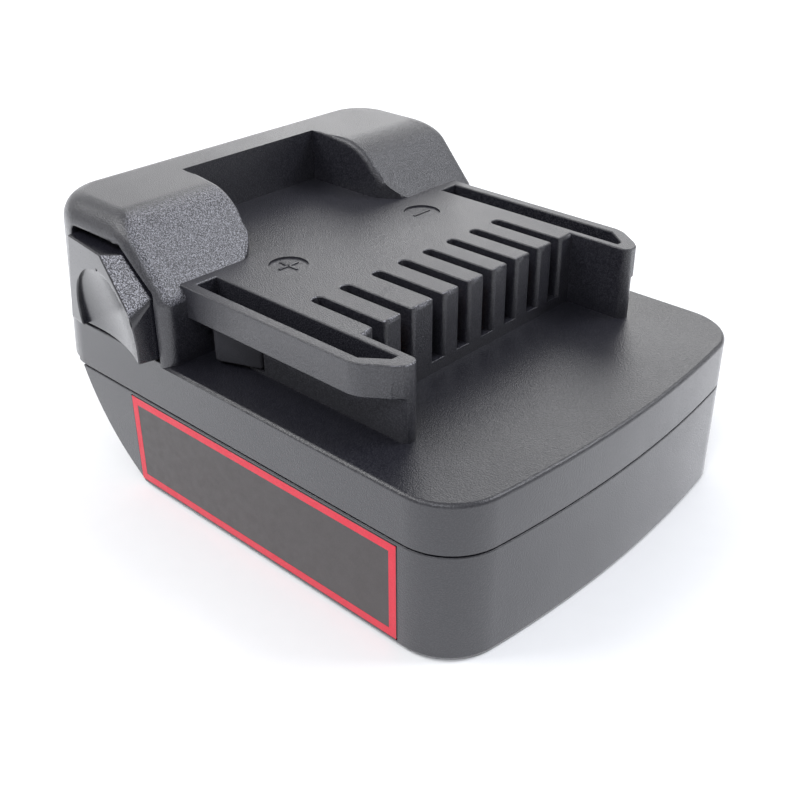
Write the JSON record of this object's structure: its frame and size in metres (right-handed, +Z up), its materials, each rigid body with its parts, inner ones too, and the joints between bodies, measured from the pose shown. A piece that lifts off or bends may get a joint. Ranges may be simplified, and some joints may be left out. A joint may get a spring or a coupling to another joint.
{
  "type": "battery adapter",
  "caption": "Slide-in battery adapter: a pack slides into its underside, and its top has undercut rails, contact slots and squeeze latches that fit a cordless tool.",
  "frame": {"origin": "centre of the bottom of the bounding box, on the bottom rim", "axes": "+X towards the rounded nose that enters the tool first, +Y to the left latch, +Z up through the rails"},
  "size_m": [0.098, 0.0832, 0.05],
  "materials": {
    "housing_plastic": "spark-eroded grain",
    "latch_plastic": "satin",
    "spring_steel": "drawn wire",
    "board": "solder mask over glass laminate",
    "contact_copper": "stamped strip",
    "resistor_body": "lacquered",
    "block_plastic": "satin",
    "blade_plating": "tin plated",
    "red_insulation": "silicone",
    "black_insulation": "silicone",
    "white_insulation": "silicone",
    "yellow_insulation": "silicone",
    "screw_steel": "zinc plated",
    "label_film": "printed film"
  },
  "bodies": {
    "housing": {"upper_housing": "housing_plastic", "lower_housing": "housing_plastic", "latch_spring_right": "spring_steel", "latch_spring_left": "spring_steel", "output_board": "board", "positive_clip": "contact_copper", "negative_clip": "contact_copper", "temperature_clip": "contact_copper", "identity_clip": "contact_copper", "identity_resistor": "resistor_body", "input_terminal_block": "block_plastic", "positive_blade": "blade_plating", "negative_blade": "blade_plating", "temperature_blade": "blade_plating", "identity_blade": "blade_plating", "positive_wire": "red_insulation", "negative_wire": "black_insulation", "temperature_wire": "white_insulation", "identity_wire": "yellow_insulation", "housing_screws": "screw_steel", "board_screws": "screw_steel", "block_screws": "screw_steel", "side_label": "label_film"},
    "right_latch": {"latch_button_right": "latch_plastic"},
    "left_latch": {"latch_button_left": "latch_plastic"}
  },
  "joints": [
    {"name": "right_latch_press", "type": "slide", "parent": "housing", "child": "right_latch", "axis": [0, 1, 0], "range_m": [0, 0.0032], "stiffness_N_per_m": 1000, "springref_m": -0.003, "deforming": ["latch_spring_right"]},
    {"name": "left_latch_press", "type": "slide", "parent": "housing", "child": "left_latch", "axis": [0, -1, 0], "range_m": [0, 0.0032], "stiffness_N_per_m": 1000, "springref_m": -0.003, "deforming": ["latch_spring_left"]}
  ]
}
